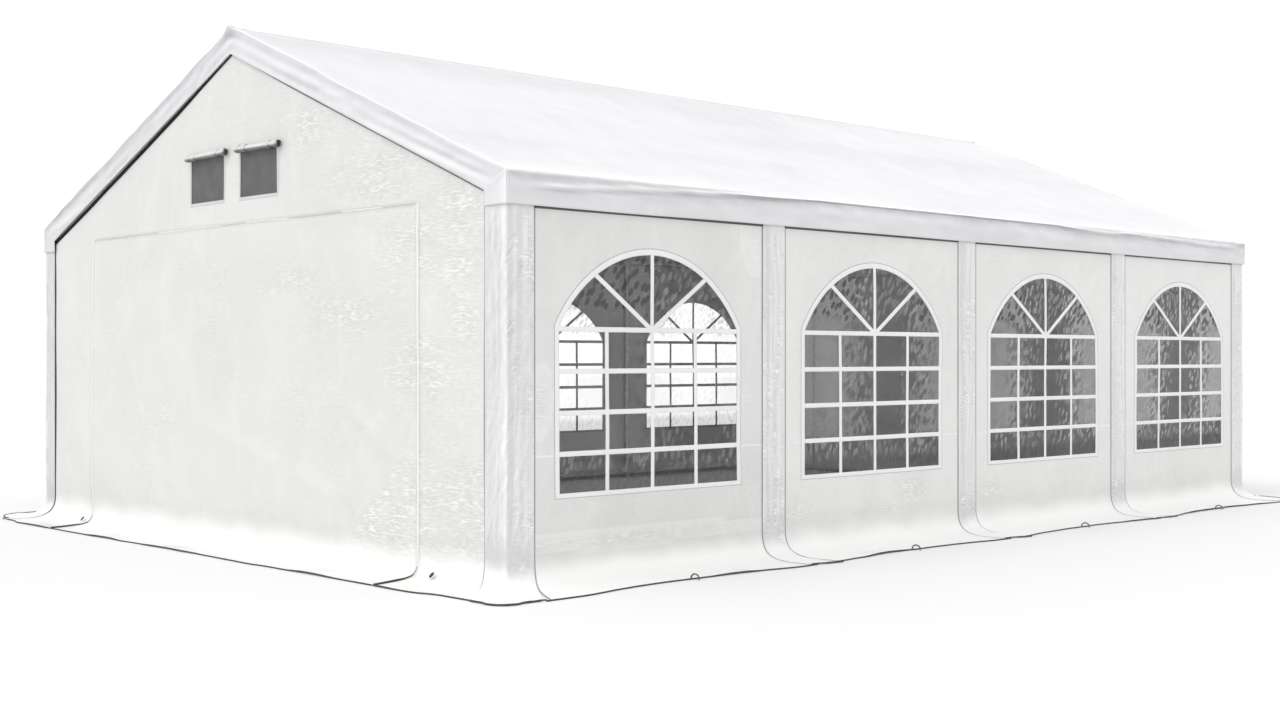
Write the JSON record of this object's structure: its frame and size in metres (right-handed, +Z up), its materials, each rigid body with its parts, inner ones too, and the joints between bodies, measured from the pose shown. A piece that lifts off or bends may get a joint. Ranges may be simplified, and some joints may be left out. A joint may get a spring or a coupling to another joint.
{
  "type": "marquee tent",
  "caption": "Gabled marquee tent with a tube frame, white sheet roof and walls, arched windows, zipped gable doors, gable vents, post covers and a ground skirt.",
  "frame": {"origin": "on the ground, at the centre of the tent's plan", "axes": "+Z up, the ridge along Y, the window walls face +X and -X, the gables face +Y and -Y"},
  "size_m": [5.763, 8.763, 3.217],
  "materials": {
    "roof_sheet": "coated woven sheet, cool white, slightly glossy",
    "wall_sheet": "coated woven sheet, off-white, slightly glossy",
    "cover_sheet": "coated woven sheet, pale grey-white, creased",
    "window_film": "clear flexible film, rippled, smoky against the dark inside",
    "vent_mesh": "fine dark insect mesh",
    "steel_tube": "galvanised steel tube"
  },
  "bodies": {
    "root": {"roof_canopy": "roof_sheet", "side_panel_right_1": "wall_sheet", "side_panel_right_2": "wall_sheet", "side_panel_right_3": "wall_sheet", "side_panel_right_4": "wall_sheet", "side_panel_left_1": "wall_sheet", "side_panel_left_2": "wall_sheet", "side_panel_left_3": "wall_sheet", "side_panel_left_4": "wall_sheet", "window_film_right_1": "window_film", "window_film_right_2": "window_film", "window_film_right_3": "window_film", "window_film_right_4": "window_film", "window_film_left_1": "window_film", "window_film_left_2": "window_film", "window_film_left_3": "window_film", "window_film_left_4": "window_film", "gable_wall_front": "wall_sheet", "gable_wall_back": "wall_sheet", "gable_door_front": "wall_sheet", "gable_door_back": "wall_sheet", "vent_mesh_front": "vent_mesh", "vent_mesh_back": "vent_mesh", "vent_flap_front_1": "wall_sheet", "vent_flap_front_2": "wall_sheet", "vent_flap_back_1": "wall_sheet", "vent_flap_back_2": "wall_sheet", "post_cover_right_2": "cover_sheet", "post_cover_right_3": "cover_sheet", "post_cover_right_4": "cover_sheet", "post_cover_left_2": "cover_sheet", "post_cover_left_3": "cover_sheet", "post_cover_left_4": "cover_sheet", "corner_cover_front_right": "cover_sheet", "corner_cover_front_left": "cover_sheet", "corner_cover_back_right": "cover_sheet", "corner_cover_back_left": "cover_sheet", "leg_right_1": "steel_tube", "leg_right_2": "steel_tube", "leg_right_3": "steel_tube", "leg_right_4": "steel_tube", "leg_right_5": "steel_tube", "leg_left_1": "steel_tube", "leg_left_2": "steel_tube", "leg_left_3": "steel_tube", "leg_left_4": "steel_tube", "leg_left_5": "steel_tube", "roof_arch_1": "steel_tube", "roof_arch_2": "steel_tube", "roof_arch_3": "steel_tube", "roof_arch_4": "steel_tube", "roof_arch_5": "steel_tube", "ridge_rail": "steel_tube", "purlin_right": "steel_tube", "purlin_left": "steel_tube", "eave_rail_right": "steel_tube", "eave_rail_left": "steel_tube", "base_rail_right": "steel_tube", "base_rail_left": "steel_tube"}
  },
  "joints": []
}
